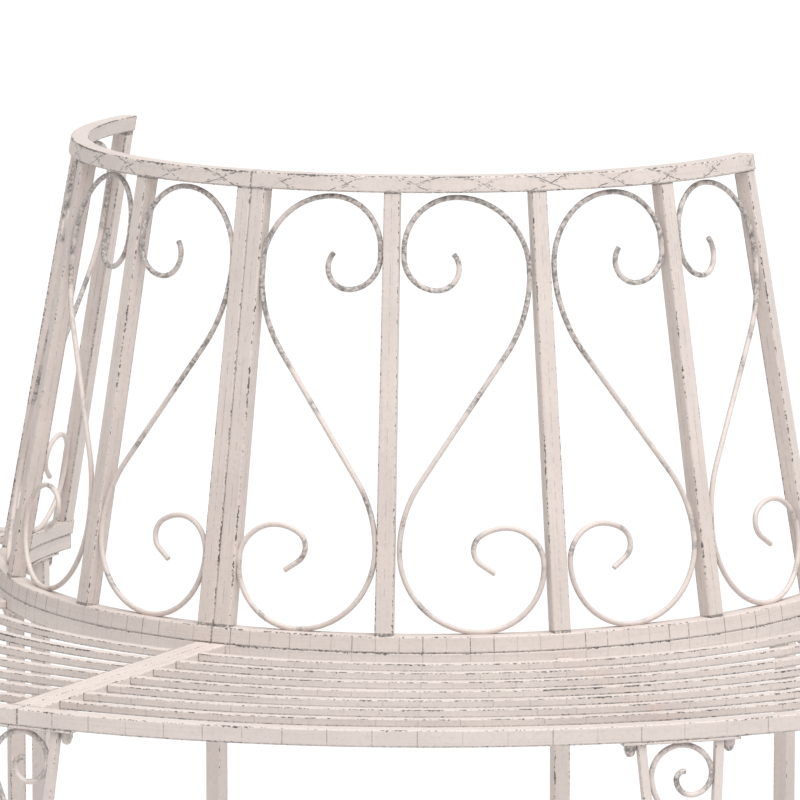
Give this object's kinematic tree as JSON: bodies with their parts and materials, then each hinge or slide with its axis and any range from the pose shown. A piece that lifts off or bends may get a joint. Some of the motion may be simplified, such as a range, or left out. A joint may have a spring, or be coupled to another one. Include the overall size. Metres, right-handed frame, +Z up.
{
  "type": "tree bench",
  "caption": "Half-round metal tree bench with a slatted seat, a leaning back filled with scrolls, and slender legs, made to stand around a tree trunk.",
  "frame": {"origin": "centre of the footprint on the ground", "axes": "+Z up, +X along the open straight side, from the left quarter to the right quarter; the round front of the seat faces -Y and the open side faces +Y"},
  "size_m": [1.6986, 0.8576, 0.9008],
  "materials": {
    "frame_paint": "worn antique cream paint, matt, with dark rubbed edges",
    "slat_paint": "worn antique cream paint, matt, with dark rubbed edges",
    "scroll_paint": "worn antique cream paint with grey metal showing through",
    "leg_paint": "worn antique cream paint, matt",
    "fastener_paint": "thin worn paint over steel",
    "cap_plastic": "matt black"
  },
  "bodies": {
    "root": {"right_top_rail": "frame_paint", "right_bottom_rail": "frame_paint", "right_seat_ring": "frame_paint", "right_seat_rim": "frame_paint", "right_seam_bearer": "frame_paint", "right_end_bearer": "frame_paint", "right_middle_bearer": "frame_paint", "right_seat_slat_1": "slat_paint", "right_seat_slat_2": "slat_paint", "right_seat_slat_3": "slat_paint", "right_seat_slat_4": "slat_paint", "right_seat_slat_5": "slat_paint", "right_seat_slat_6": "slat_paint", "right_seat_slat_7": "slat_paint", "right_back_post_1": "frame_paint", "right_back_post_2": "frame_paint", "right_back_post_3": "frame_paint", "right_back_post_4": "frame_paint", "right_back_post_5": "frame_paint", "right_back_scroll_1": "scroll_paint", "right_back_scroll_2": "scroll_paint", "right_back_scroll_3": "scroll_paint", "right_back_scroll_4": "scroll_paint", "left_top_rail": "frame_paint", "left_bottom_rail": "frame_paint", "left_seat_ring": "frame_paint", "left_seat_rim": "frame_paint", "left_seam_bearer": "frame_paint", "left_end_bearer": "frame_paint", "left_middle_bearer": "frame_paint", "left_seat_slat_1": "slat_paint", "left_seat_slat_2": "slat_paint", "left_seat_slat_3": "slat_paint", "left_seat_slat_4": "slat_paint", "left_seat_slat_5": "slat_paint", "left_seat_slat_6": "slat_paint", "left_seat_slat_7": "slat_paint", "left_back_post_1": "frame_paint", "left_back_post_2": "frame_paint", "left_back_post_3": "frame_paint", "left_back_post_4": "frame_paint", "left_back_post_5": "frame_paint", "left_back_scroll_1": "scroll_paint", "left_back_scroll_2": "scroll_paint", "left_back_scroll_3": "scroll_paint", "left_back_scroll_4": "scroll_paint", "front_leg_1": "leg_paint", "front_leg_2": "leg_paint", "front_leg_3": "leg_paint", "front_leg_4": "leg_paint", "front_leg_5": "leg_paint", "front_leg_scrolls": "scroll_paint", "rear_leg_1": "leg_paint", "rear_leg_2": "leg_paint", "rear_leg_3": "leg_paint", "rear_leg_4": "leg_paint", "rear_leg_5": "leg_paint", "rear_leg_caps": "cap_plastic", "leg_studs": "fastener_paint", "leg_cap_nuts": "fastener_paint"}
  },
  "joints": []
}
